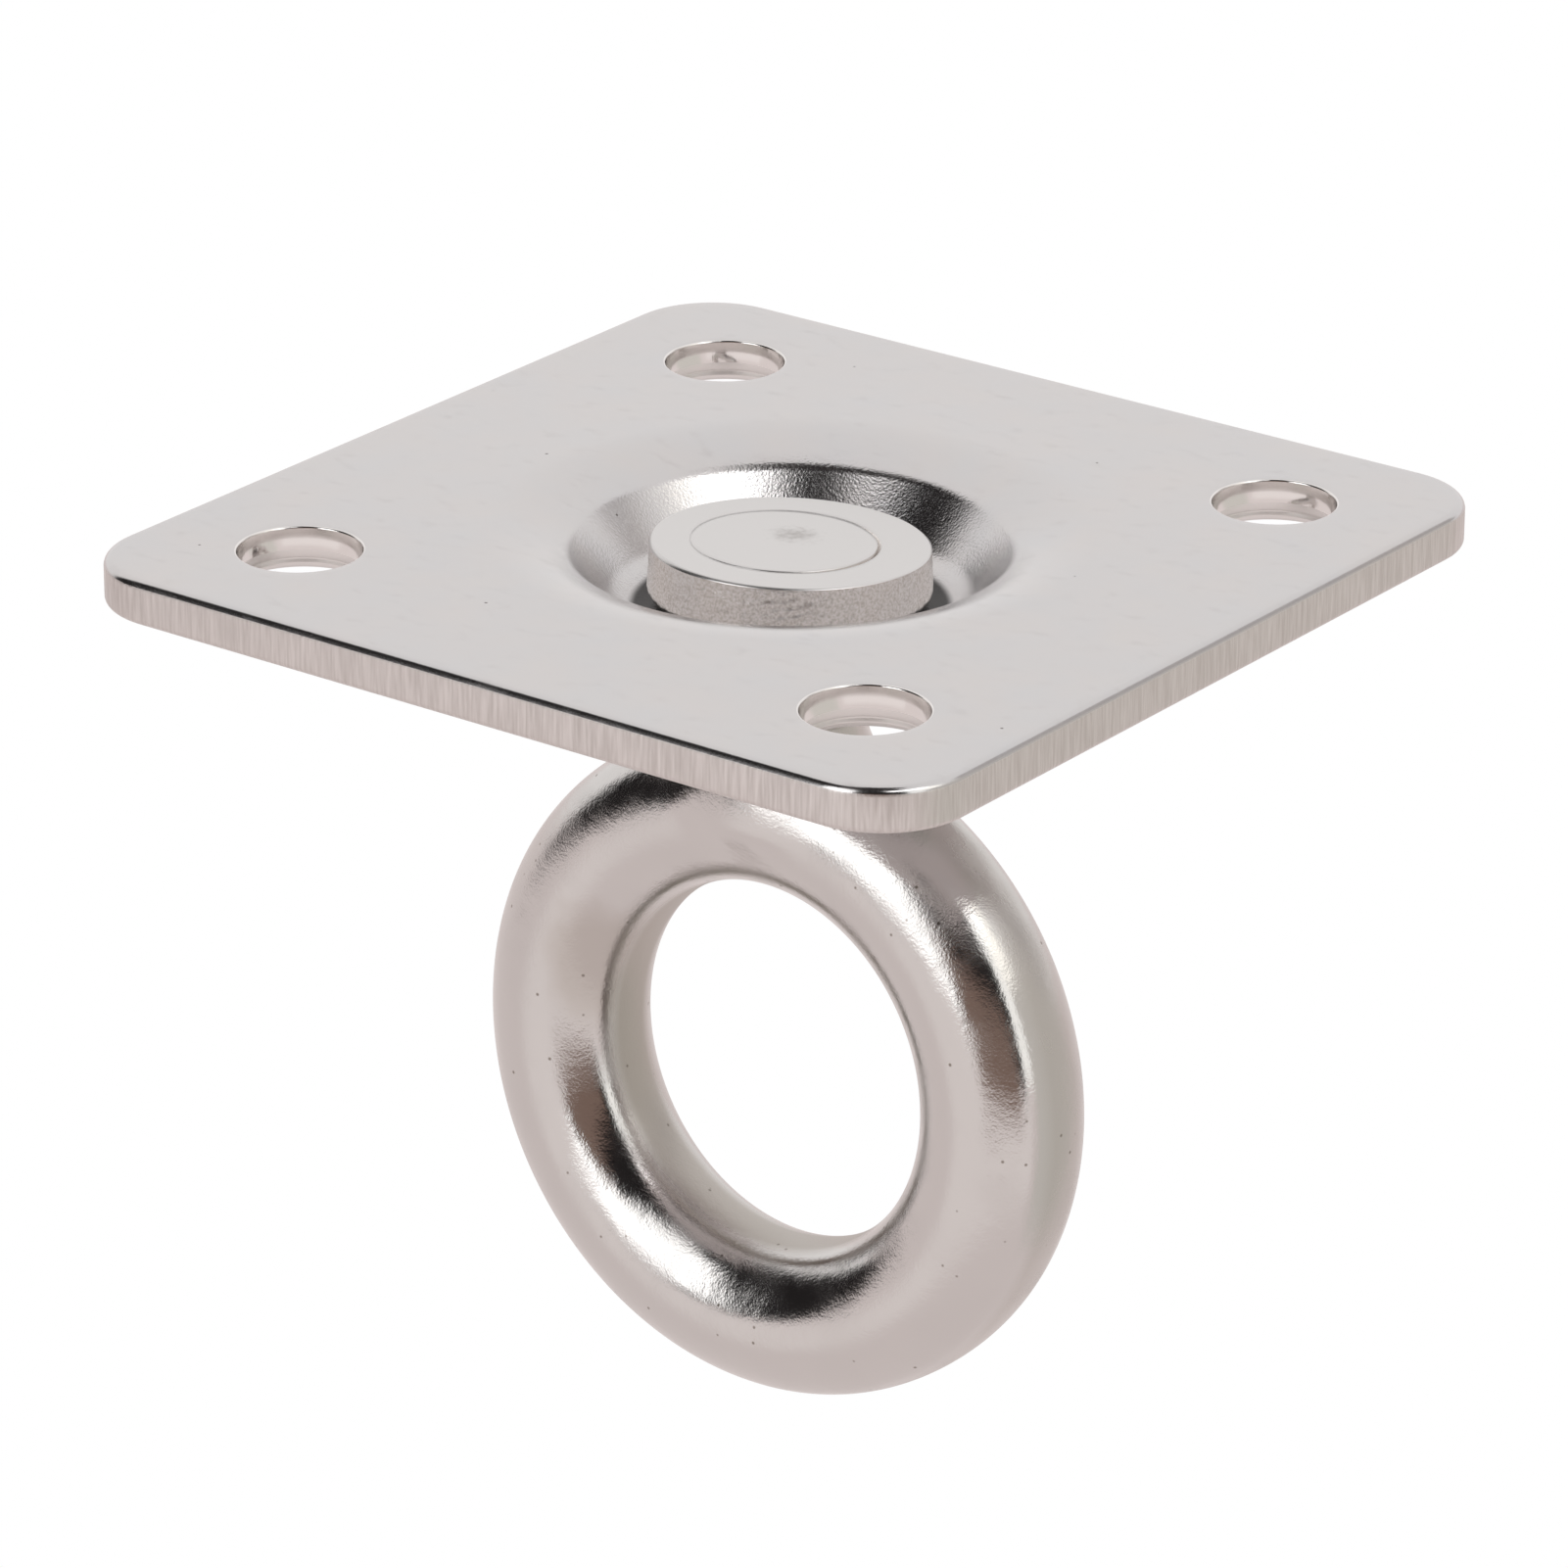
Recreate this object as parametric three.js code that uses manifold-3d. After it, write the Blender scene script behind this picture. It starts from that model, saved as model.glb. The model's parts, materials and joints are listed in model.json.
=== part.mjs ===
// Swivel pad eye: a square stamped plate with a pressed dish, and a forged eye that hangs
// through the dish and spins in it, held by a collar on the end of its shank.
//
// Millimetres, +Z up. The origin is the centre of the plate's mounting face, which looks up.
// X and Y run along the sides of the plate, and the eye hangs below it.

import * as THREE from 'three';
import { mergeVertices } from 'three/addons/utils/BufferGeometryUtils.js';
import Module from 'manifold-3d';

// ---- Driving dimensions ------------------------------------------------------------------

// Plate, stamped from sheet
const PLATE_SIDE = 50;
const SHEET = 2.3; // sheet thickness
const CORNER_RADIUS = 4.6;
const EDGE_ROUND = 0.4; // rolled edge left by the blanking die
const SCREW_SPACING = 33.9; // hole to hole, both ways
const SCREW_HOLE_RADIUS = 3.05;

// Dish pressed into the middle of the plate
const DISH_RIM_RADIUS = 15.2; // where the flat face starts to roll down
const DISH_DEPTH = 4.13;
const DISH_LEAD_IN = 9.8; // radius of the gentle roll at the rim
const LEAD_IN_DEG = 24; // slope at which the gentle roll ends
const DISH_EDGE = 1.2; // radius of the tighter roll over into the wall
const TIGHTEST_BEND = 0.3; // least radius on the inside of that roll
const DISH_FILLET = 1; // radius where the wall meets the floor
const DISH_WALL_DEG = 53; // wall slope
const BORE_RADIUS = 4.4; // loose round the shank

// Eye: ring, neck, shoulder and shank, forged in one piece
const RING_RADIUS = 13.41; // to the middle of the section
const SECTION_RADIAL = 3.93; // half sizes of the slightly squarish section
const SECTION_AXIAL = 3.83;
const SECTION_POWER = 2.15; // 2 is an ellipse, more is squarer
const RING_DROP = 27.93; // mounting face to ring centre
const NECK_RADIUS = 3.8;
const SHOULDER_RADIUS = 5.6;
const SHOULDER_TOP = -6.98;
const SHOULDER_HEIGHT = 1.0;
const SHOULDER_FILLET = 1.8;
const SHOULDER_BREAK = 0.3; // broken edges of the shoulder
const SHANK_RADIUS = 3.75;
const CROWN_FILLET = 1.6; // where the neck runs out over the ring
const COVE_WIDTH_SHARE = 0.95; // of the ring's width, so the cove stays inside its crown
const RING_FALL_AT_COVE = 0.9; // how far the crown has curved down at the cove's toe

// Collar, with the end of the shank peened out into its countersink
const HEAD_TOP = -0.86; // ground face of collar and shank end
const COLLAR_RADIUS = 6.91;
const COLLAR_HEIGHT = 2.82;
const COLLAR_TOP_BREAK = 0.12;
const COLLAR_BOTTOM_ROUND = 0.6;
const PEEN_RADIUS = 4.74;
const PEEN_DEPTH = 1.5;
const FIT_GAP = 0.3; // modelled clearance between collar and shank
const GRIND_SLOPE = 0.033; // the face is ground a little out of square, down towards +X

// The fit is loose, so the eye hangs out of square, turning about the centre of the face
const LEAN_ABOUT_X_DEG = -2.93;
const LEAN_ABOUT_Y_DEG = -1.34;

// Facets
const ROUND_STEPS = 48; // round the ring, dish and collar
const SECTION_STEPS = 20;
const ARC_STEPS = 4;
const TIGHT_ARC_STEPS = 3;
const CORNER_STEPS = 6;
const HOLE_STEPS = 20;
const WELD_DISTANCE = 1e-4; // corners closer than this are one corner

// ---- Helpers -----------------------------------------------------------------------------

const wasm = await Module();
wasm.setup();

const radians = THREE.MathUtils.degToRad;

function toManifold(geometry) {
  const bare = geometry.clone();
  bare.deleteAttribute('normal');
  bare.deleteAttribute('uv');
  const merged = mergeVertices(bare, WELD_DISTANCE);
  return new wasm.Manifold(new wasm.Mesh({
    numProp: 3,
    vertProperties: Float32Array.from(merged.attributes.position.array),
    triVerts: Uint32Array.from(merged.index.array),
  }));
}

function toGeometry(solid) {
  const mesh = solid.getMesh();
  const geometry = new THREE.BufferGeometry();
  geometry.setAttribute('position', new THREE.BufferAttribute(mesh.vertProperties, 3));
  geometry.setIndex(new THREE.BufferAttribute(mesh.triVerts, 1));
  geometry.computeVertexNormals();
  return geometry;
}

// Points of an arc from one angle to another, both ends included, angles in degrees
function arc(x, y, radius, from, to, steps = ARC_STEPS) {
  return Array.from({ length: steps + 1 }, (_, i) => {
    const angle = radians(from + (to - from) * i / steps);
    return new THREE.Vector2(x + radius * Math.cos(angle), y + radius * Math.sin(angle));
  });
}

// A lathe turned about Z: its points are (radius, height), going round the section so that
// the outside is walked upwards
function turned(points, steps = ROUND_STEPS) {
  return new THREE.LatheGeometry(points, steps).rotateX(Math.PI / 2);
}

// ---- Plate -------------------------------------------------------------------------------

function plateOutline() {
  const reach = PLATE_SIDE / 2 - CORNER_RADIUS;
  const shape = new THREE.Shape([
    ...arc(reach, reach, CORNER_RADIUS, 0, 90, CORNER_STEPS),
    ...arc(-reach, reach, CORNER_RADIUS, 90, 180, CORNER_STEPS),
    ...arc(-reach, -reach, CORNER_RADIUS, 180, 270, CORNER_STEPS),
    ...arc(reach, -reach, CORNER_RADIUS, 270, 360, CORNER_STEPS),
  ]);
  for (const x of [-1, 1]) {
    for (const y of [-1, 1]) {
      const rim = arc(x * SCREW_SPACING / 2, y * SCREW_SPACING / 2, SCREW_HOLE_RADIUS,
        360, 0, HOLE_STEPS);
      shape.holes.push(new THREE.Path(rim.slice(1)));
    }
  }
  return shape;
}

function flatPlate() {
  return new THREE.ExtrudeGeometry(plateOutline(), {
    depth: SHEET - 2 * EDGE_ROUND,
    bevelEnabled: true,
    bevelThickness: EDGE_ROUND,
    bevelSize: EDGE_ROUND,
    bevelOffset: -EDGE_ROUND,
    bevelSegments: 2,
  }).translate(0, 0, EDGE_ROUND - SHEET);
}

// One face of the dish, from the rim in to the bore: a gentle roll, a tighter one, a straight
// wall and a fillet. The lower face is the upper one moved through the sheet, so its rolls are
// tighter and its fillet wider by the sheet thickness.
function dishFace(through) {
  const soft = radians(LEAD_IN_DEG);
  const steep = radians(DISH_WALL_DEG);
  const leadIn = DISH_LEAD_IN - through;
  const edge = Math.max(DISH_EDGE - through, TIGHTEST_BEND);
  const fillet = DISH_FILLET + through;
  const floor = -DISH_DEPTH - through;
  const edgeX = DISH_RIM_RADIUS - (leadIn - edge) * Math.sin(soft);
  const edgeY = -through - leadIn + (leadIn - edge) * Math.cos(soft);
  const wallTop = edgeY + edge * Math.cos(steep);
  const wallEnd = floor + fillet * (1 - Math.cos(steep));
  const floorRadius = edgeX - (edge + fillet) * Math.sin(steep)
    - (wallTop - wallEnd) / Math.tan(steep);
  return [
    ...arc(DISH_RIM_RADIUS, -through - leadIn, leadIn, 90, 90 + LEAD_IN_DEG),
    ...arc(edgeX, edgeY, edge, 90 + LEAD_IN_DEG, 90 + DISH_WALL_DEG, TIGHT_ARC_STEPS).slice(1),
    ...arc(floorRadius, floor + fillet, fillet, -90 + DISH_WALL_DEG, -90),
    new THREE.Vector2(BORE_RADIUS, floor),
  ];
}

function basePlate() {
  const overlap = 0.3; // the dish reaches this far into the flat plate, to be joined to it
  const cutter = new THREE.CylinderGeometry(
    DISH_RIM_RADIUS + overlap / 2, DISH_RIM_RADIUS + overlap / 2, 4 * SHEET, ROUND_STEPS,
  ).rotateX(Math.PI / 2);
  const edge = DISH_RIM_RADIUS + overlap;
  const top = dishFace(0);
  const bottom = dishFace(SHEET).reverse();
  const section = [
    ...bottom,
    new THREE.Vector2(edge, -SHEET),
    new THREE.Vector2(edge, 0),
    ...top,
    bottom[0].clone(),
  ];
  return toGeometry(
    toManifold(flatPlate()).subtract(toManifold(cutter)).add(toManifold(turned(section))),
  );
}

// ---- Eye ---------------------------------------------------------------------------------

// A lathe about Y, so the ring stands in the XZ plane
function ring() {
  const soften = (value) => Math.sign(value) * Math.abs(value) ** (2 / SECTION_POWER);
  const section = Array.from({ length: SECTION_STEPS + 1 }, (_, i) => {
    const angle = 2 * Math.PI * (i % SECTION_STEPS) / SECTION_STEPS;
    return new THREE.Vector2(
      RING_RADIUS + SECTION_RADIAL * soften(Math.cos(angle)),
      SECTION_AXIAL * soften(Math.sin(angle)),
    );
  });
  return new THREE.LatheGeometry(section, ROUND_STEPS).translate(0, 0, -RING_DROP);
}

// Neck, shoulder, shank and peened end, turned in one
function stem() {
  const ringTop = -RING_DROP + RING_RADIUS + SECTION_RADIAL;
  const shoulderBottom = SHOULDER_TOP - SHOULDER_HEIGHT;
  const filletRadius = NECK_RADIUS + SHOULDER_FILLET;
  const shoulderFlat = SHOULDER_RADIUS - SHOULDER_BREAK;
  return turned([
    new THREE.Vector2(0, ringTop - SECTION_RADIAL),
    new THREE.Vector2(NECK_RADIUS, ringTop - SECTION_RADIAL),
    ...arc(filletRadius, shoulderBottom - SHOULDER_FILLET, SHOULDER_FILLET, 180, 105),
    ...arc(shoulderFlat, shoulderBottom + SHOULDER_BREAK, SHOULDER_BREAK, -60, 0, TIGHT_ARC_STEPS),
    ...arc(shoulderFlat, SHOULDER_TOP - SHOULDER_BREAK, SHOULDER_BREAK, 0, 90, TIGHT_ARC_STEPS),
    new THREE.Vector2(SHANK_RADIUS, SHOULDER_TOP),
    new THREE.Vector2(SHANK_RADIUS, HEAD_TOP - PEEN_DEPTH),
    new THREE.Vector2(PEEN_RADIUS, HEAD_TOP),
    new THREE.Vector2(0, HEAD_TOP),
  ]);
}

// The neck runs out over the ring's crown in a cove along the ring. It is turned, then
// squashed across the ring so that it stays inside the ring's thickness.
function crownCove() {
  const ringTop = -RING_DROP + RING_RADIUS + SECTION_RADIAL;
  const reach = NECK_RADIUS + CROWN_FILLET;
  const toe = ringTop - RING_FALL_AT_COVE;
  return turned([
    new THREE.Vector2(0, ringTop - SECTION_RADIAL),
    new THREE.Vector2(reach, ringTop - SECTION_RADIAL),
    ...arc(reach, toe + CROWN_FILLET, CROWN_FILLET, 270, 180),
    new THREE.Vector2(0, toe + CROWN_FILLET),
  ]).scale(1, COVE_WIDTH_SHARE * SECTION_AXIAL / reach, 1);
}

function eye() {
  return toGeometry(toManifold(ring()).add(toManifold(stem())).add(toManifold(crownCove())));
}

// ---- Collar ------------------------------------------------------------------------------

function collar() {
  const bottom = HEAD_TOP - COLLAR_HEIGHT;
  const bore = SHANK_RADIUS + FIT_GAP;
  const section = [
    new THREE.Vector2(bore, bottom),
    ...arc(COLLAR_RADIUS - COLLAR_BOTTOM_ROUND, bottom + COLLAR_BOTTOM_ROUND,
      COLLAR_BOTTOM_ROUND, -90, 0),
    new THREE.Vector2(COLLAR_RADIUS, HEAD_TOP - COLLAR_TOP_BREAK),
    new THREE.Vector2(COLLAR_RADIUS - COLLAR_TOP_BREAK, HEAD_TOP),
    new THREE.Vector2(PEEN_RADIUS + FIT_GAP, HEAD_TOP),
    new THREE.Vector2(bore, HEAD_TOP - PEEN_DEPTH),
    new THREE.Vector2(bore, bottom),
  ];
  return turned(section);
}

// Collar and shank end are ground off together, so both top faces take the same slope
function grindFace(geometry) {
  const position = geometry.attributes.position;
  for (let i = 0; i < position.count; i += 1) {
    const z = position.getZ(i);
    if (z > HEAD_TOP - 2 * COLLAR_TOP_BREAK) {
      position.setZ(i, z - GRIND_SLOPE * position.getX(i));
    }
  }
  return geometry;
}

// ---- Assembly ----------------------------------------------------------------------------

function steel(color, roughness) {
  return new THREE.MeshStandardMaterial({ color, roughness, metalness: 1 });
}

function named(name, geometry, material) {
  const mesh = new THREE.Mesh(geometry, material);
  mesh.name = name;
  return mesh;
}

const swivel = new THREE.Group();
swivel.rotation.set(radians(LEAN_ABOUT_X_DEG), radians(LEAN_ABOUT_Y_DEG), 0);
swivel.add(named('swivel_eye', grindFace(eye()), steel('#bcb4b0', 0.2)));
swivel.add(named('retaining_collar', grindFace(collar()), steel('#c8c5c3', 0.35)));

const group = new THREE.Group();
group.add(named('base_plate', basePlate(), steel('#cbc9c8', 0.3)));
group.add(swivel);

export default group;
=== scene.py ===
# %% [markdown]
# # A swivelling pad eye in stainless steel
# A square stamped plate is screwed under a ceiling or a deck, and a forged ring hangs from it on a
# round shank that turns in a pressed dish. Three solid pieces of steel make it, so everything that
# the eye enjoys here comes from edges, from the way each surface was worked, and from what the
# polished metal reflects.

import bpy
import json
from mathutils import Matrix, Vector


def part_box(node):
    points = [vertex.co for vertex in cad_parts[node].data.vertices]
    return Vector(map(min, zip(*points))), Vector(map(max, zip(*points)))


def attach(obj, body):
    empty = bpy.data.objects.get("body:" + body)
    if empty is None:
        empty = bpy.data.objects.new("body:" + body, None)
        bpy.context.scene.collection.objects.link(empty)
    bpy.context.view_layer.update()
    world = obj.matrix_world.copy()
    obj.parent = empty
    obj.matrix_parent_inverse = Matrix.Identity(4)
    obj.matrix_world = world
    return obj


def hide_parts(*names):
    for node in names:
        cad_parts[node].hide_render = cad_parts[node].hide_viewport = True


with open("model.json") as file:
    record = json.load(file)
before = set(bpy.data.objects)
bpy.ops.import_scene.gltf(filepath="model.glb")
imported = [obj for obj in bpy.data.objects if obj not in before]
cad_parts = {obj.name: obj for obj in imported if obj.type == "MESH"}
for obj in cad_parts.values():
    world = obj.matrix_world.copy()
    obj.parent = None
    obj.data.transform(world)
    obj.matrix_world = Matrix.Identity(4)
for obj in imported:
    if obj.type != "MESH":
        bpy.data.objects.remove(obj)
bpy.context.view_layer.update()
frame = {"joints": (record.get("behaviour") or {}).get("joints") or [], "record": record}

# %% Tools used throughout
import json
import math

import bmesh
import bpy
import numpy as np
from mathutils import Matrix, Quaternion, Vector, noise

MM = 0.001

# %% [markdown]
# ## What the frame already knows
# The CAD part fixes where things are. The swivel's axis, the plate's size, the sheet's thickness
# and the places of the screw holes are read from it, so a change there moves the looks too.

# %% Read sizes and places from the frame
record = frame["record"]
plate_low, plate_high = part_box("base_plate")
PLATE_HALF = (plate_high.x - plate_low.x) / 2
DISH_BOTTOM = plate_low.z
seats = [m for m in record["mounts"] if m["name"].startswith("screw_seat")]
SHEET = -seats[0]["pos_m"][2]
hole_boxes = [o["box_m"] for o in record["physics"]["openings"] if o["name"].startswith("screw")]
HOLE_CENTRES = [((a[0] + b[0]) / 2, (a[1] + b[1]) / 2) for a, b in hole_boxes]
swivel = frame["joints"][0]
SHANK_AXIS = Vector(swivel["axis"]).normalized()
SHANK_FRAME = Matrix.Translation(swivel["pos_m"]) @ (
    Vector((0, 0, 1)).rotation_difference(SHANK_AXIS).to_matrix().to_4x4()
)
print("plate", round(PLATE_HALF * 2 / MM, 2), "mm, sheet", round(SHEET / MM, 2), "mm")
print("shank leans", round(math.degrees(SHANK_AXIS.angle(Vector((0, 0, 1)))), 2), "degrees")

# %% [markdown]
# ## The camera
# A long lens from about 0.4 m away keeps the sides of such a small part nearly parallel. It looks
# down on the corner of the plate, so the dish, the edges and the ring below all show at once.

# %% Place the camera
CAMERA_AZIMUTH = 36.82
CAMERA_ELEVATION = 22.725
CAMERA_ROLL = 0.151
CAMERA_DISTANCE = 0.38817
CAMERA_LENS = 183.0
CAMERA_AIM = Vector((0.002671, -0.004082, -0.011624))


def direction(azimuth, elevation):
    """Unit vector towards a bearing: azimuth 0 is the front, -Y, and 90 the right, +X."""
    a, e = math.radians(azimuth), math.radians(elevation)
    return Vector((math.sin(a) * math.cos(e), -math.cos(a) * math.cos(e), math.sin(e)))


back = direction(CAMERA_AZIMUTH, CAMERA_ELEVATION)
camera_data = bpy.data.cameras.new("camera")
camera_data.lens = CAMERA_LENS
camera_data.sensor_width = 36
camera_data.clip_start = 0.01
camera_data.clip_end = 20
camera = bpy.data.objects.new("camera", camera_data)
camera.location = CAMERA_AIM + back * CAMERA_DISTANCE
camera.rotation_mode = "QUATERNION"
level = (-back).to_track_quat("-Z", "Y")
camera.rotation_quaternion = level @ Quaternion((0, 0, 1), math.radians(CAMERA_ROLL))
bpy.context.scene.collection.objects.link(camera)
bpy.context.scene.camera = camera
print("camera at", [round(v, 4) for v in camera.location])

# %% [markdown]
# ## Mesh helpers
# Turned, stamped and punched shapes are all one idea: a closed outline, repeated at other insets
# and heights, with a strip of quads between each two. A helper that sweeps an outline along a
# profile makes the sheet's edge, the walls of its holes, the dish, the collar and the shank.


# %% Sweep a profile round an outline
def arc(x, y, radius, start, end, steps):
    """Points of an arc, both ends included, angles in degrees."""
    angles = np.radians(np.linspace(start, end, steps + 1))
    return [(x + radius * math.cos(a), y + radius * math.sin(a)) for a in angles]


def circle(centre, steps):
    """An outline function: the circle of a given radius round a centre."""
    angles = np.linspace(0, 2 * math.pi, steps, endpoint=False)

    def outline(radius):
        return [(centre[0] + radius * math.cos(a), centre[1] + radius * math.sin(a)) for a in angles]

    return outline


def sweep(bm, outline, profile, finish=lambda height: 0):
    """Quads between the outline at each (size, height) of the profile. Gives first and last loop.

    finish gives the number of the material slot for a strip from its middle height."""
    loops = [[bm.verts.new((x, y, z)) for x, y in outline(size)] for size, z in profile]
    for (low, high), (start, end) in zip(zip(loops, loops[1:]), zip(profile, profile[1:])):
        slot = finish((start[1] + end[1]) / 2)
        for i, corner in enumerate(low):
            j = (i + 1) % len(low)
            bm.faces.new((corner, low[j], high[j], high[i])).material_index = slot
    return loops[0], loops[-1]


def edges_of(loop):
    """The edges that join the corners of a closed loop."""
    return [next(e for e in a.link_edges if e.other_vert(a) is b) for a, b in zip(loop[-1:] + loop, loop)]


def finish_mesh(bm, name):
    """Outward faces, smooth shading, and an object of that name."""
    bmesh.ops.recalc_face_normals(bm, faces=bm.faces)
    mesh = bpy.data.meshes.new(name)
    bm.to_mesh(mesh)
    bm.free()
    mesh.shade_smooth()
    obj = bpy.data.objects.new(name, mesh)
    bpy.context.scene.collection.objects.link(obj)
    print(name, len(mesh.vertices), "vertices", len(mesh.polygons), "faces")
    return obj


# %% [markdown]
# ## The stamped plate
# A blanking die shears the square from sheet a little over 2 mm thick. Going in, the punch drags
# the edge down into a smooth roll; lower down the metal is first cut clean and then torn, which
# leaves a thin burr. A block with a bevel would show none of this, so the edge is a real profile.

# %% Outline of the square
CORNER_RADIUS = 4.6 * MM
CORNER_STEPS = 16
SIDE_STEPS = 24


def square_outline(inset):
    """The rounded square, moved in by inset, with the same points at every inset."""
    reach = PLATE_HALF - CORNER_RADIUS
    radius = CORNER_RADIUS - inset
    points = []
    for quarter, (sx, sy) in enumerate([(1, 1), (-1, 1), (-1, -1), (1, -1)]):
        corner = arc(sx * reach, sy * reach, radius, 90 * quarter, 90 * quarter + 90, CORNER_STEPS)
        nx, ny = [(-1, 0), (0, -1), (1, 0), (0, 1)][quarter]
        run = 2 * reach
        side = [
            (corner[-1][0] + nx * run * k / SIDE_STEPS, corner[-1][1] + ny * run * k / SIDE_STEPS)
            for k in range(1, SIDE_STEPS)
        ]
        points += corner + side
    return points


# %% Profiles of the sheared edge and of a punched hole
EDGE_ROLL = 0.45 * MM
EDGE_BURR = 0.36 * MM
FLAT_MARGIN = 0.5 * MM
EDGE_PROFILE = [
    (EDGE_ROLL + FLAT_MARGIN, 0),
    *[(EDGE_ROLL - x, z) for x, z in arc(0, -EDGE_ROLL, EDGE_ROLL, 90, 0, 10)],
    (0, -0.6 * SHEET),
    *[(EDGE_BURR - x, z) for x, z in arc(0, EDGE_BURR - SHEET, EDGE_BURR, 0, -90, 6)],
    (EDGE_BURR + FLAT_MARGIN, -SHEET),
]

HOLE_RADIUS = 3.06 * MM
HOLE_ROLL = 0.10 * MM
HOLE_STEPS = 96
CLEAN_CUT = 1.15 * MM
CLEAN_TAPER = 0.05 * MM  # the punch drags metal in, so the clean part narrows going down
# Below the clean cut the wall is torn in two shallow lips. Each point: mm outward and mm down.
TORN_WALL = [
    (-0.02, CLEAN_CUT / MM + 0.06), (0, 1.52), (0.10, 1.60), (0.14, 1.76), (0.04, 1.86), (0.08, 1.92)
]
BREAKOUT = 0.55 * MM  # how much wider the tear leaves the hole on the lower face
HOLE_PROFILE = [
    (HOLE_RADIUS + HOLE_ROLL + FLAT_MARGIN, 0),
    *[(HOLE_RADIUS + HOLE_ROLL - x, z) for x, z in arc(0, -HOLE_ROLL, HOLE_ROLL, 90, 0, 5)],
    (HOLE_RADIUS - 0.5 * CLEAN_TAPER, -0.5 * CLEAN_CUT),
    (HOLE_RADIUS - CLEAN_TAPER, -CLEAN_CUT),
    *[(HOLE_RADIUS + outward * MM, -down * MM) for outward, down in TORN_WALL],
    (HOLE_RADIUS + BREAKOUT, -SHEET),
    (HOLE_RADIUS + BREAKOUT + FLAT_MARGIN, -SHEET),
]
print("holes", round(2 * HOLE_RADIUS / MM, 2), "mm across, cut clean for", round(CLEAN_CUT / MM, 2), "mm")

# %% [markdown]
# ## The dish
# The press draws the middle of the plate down, so that the collar can lie below the mounting
# face. The upper face leans in gently for 4 mm, rolls over a tighter edge, runs down a steep wall
# and turns into the floor. The lower face is the same line one sheet thickness away, so its edge
# is tighter still and its foot wider.

# %% Profile of the dish
DISH_RIM = 15.2 * MM
DISH_LEAD_IN = 9.8 * MM
LEAD_IN_SLOPE = 24  # degrees that the lead-in turns through
DISH_EDGE = 1.2 * MM
DISH_FILLET = 1.8 * MM
DISH_WALL = 53  # degrees from level
DISH_ARC_STEPS = 14
TIGHTEST_BEND = 0.3 * MM
BORE_RADIUS = 4.4 * MM
BORE_BREAK = 0.15 * MM
BORE_MOUTH = BORE_RADIUS + BORE_BREAK
FLOOR_ROW = BORE_MOUTH + 0.3 * MM
DISH_DEPTH = -DISH_BOTTOM - SHEET


def dish_face(through, steps):
    """(radius, height) from the rim to the foot, on the face this far down through the sheet."""
    soft, steep = math.radians(LEAD_IN_SLOPE), math.radians(DISH_WALL)
    lead_in = DISH_LEAD_IN - through
    edge = max(DISH_EDGE - through, TIGHTEST_BEND)
    fillet = DISH_FILLET + through
    floor = -DISH_DEPTH - through
    edge_x = DISH_RIM - (lead_in - edge) * math.sin(soft)
    edge_z = -through - lead_in + (lead_in - edge) * math.cos(soft)
    wall_top = edge_z + edge * math.cos(steep)
    wall_end = floor + fillet * (1 - math.cos(steep))
    run = (wall_top - wall_end) / math.tan(steep)
    foot = edge_x - (edge + fillet) * math.sin(steep) - run
    return [
        *arc(DISH_RIM, -through - lead_in, lead_in, 90, 90 + LEAD_IN_SLOPE, steps),
        *arc(edge_x, edge_z, edge, 90 + LEAD_IN_SLOPE, 90 + DISH_WALL, steps)[1:],
        *arc(foot, floor + fillet, fillet, -90 + DISH_WALL, -90, steps),
    ]


DISH_PROFILE = [
    (DISH_RIM + FLAT_MARGIN, 0),
    *dish_face(0, DISH_ARC_STEPS),
    (FLOOR_ROW, -DISH_DEPTH),
    *[(BORE_MOUTH - x, z) for x, z in arc(0, -DISH_DEPTH - BORE_BREAK, BORE_BREAK, 90, 0, 4)],
    *[(BORE_MOUTH - x, z) for x, z in arc(0, DISH_BOTTOM + BORE_BREAK, BORE_BREAK, 0, -90, 4)],
    (FLOOR_ROW, DISH_BOTTOM),
    *reversed(dish_face(SHEET, DISH_ARC_STEPS)),
    (DISH_RIM + FLAT_MARGIN, -SHEET),
]
print("dish", round(DISH_DEPTH / MM, 2), "mm deep,", len(DISH_PROFILE), "points down and back")

# %% Build the plate
SHEET_FACE, SHEARED_SIDE, PUNCHED_WALL = 0, 1, 2
DISH_STEPS = 192


def edge_finish(height):
    return SHEARED_SIDE if -SHEET < height < -0.75 * EDGE_ROLL else SHEET_FACE


def hole_finish(height):
    return PUNCHED_WALL if -SHEET < height < 0 else SHEET_FACE


plate_bm = bmesh.new()
ends = [sweep(plate_bm, square_outline, EDGE_PROFILE, edge_finish)]
for centre in HOLE_CENTRES:
    ends.append(sweep(plate_bm, circle(centre, HOLE_STEPS), HOLE_PROFILE, hole_finish))
ends.append(sweep(plate_bm, circle((0, 0), DISH_STEPS), DISH_PROFILE))
for side, normal in ((0, 1), (1, -1)):
    border = [e for pair in ends for e in edges_of(pair[side])]
    bmesh.ops.triangle_fill(plate_bm, use_beauty=True, edges=border, normal=(0, 0, normal))
plate = finish_mesh(plate_bm, "stamped_plate")

# %% [markdown]
# ## Collar and shank end
# The collar slips over the end of the shank, the end is peened out into its countersink, and both
# are ground off together. Grinding leaves a flat face, a touch out of square, a crisp rim, and a
# hairline where the two pieces meet.

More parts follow.
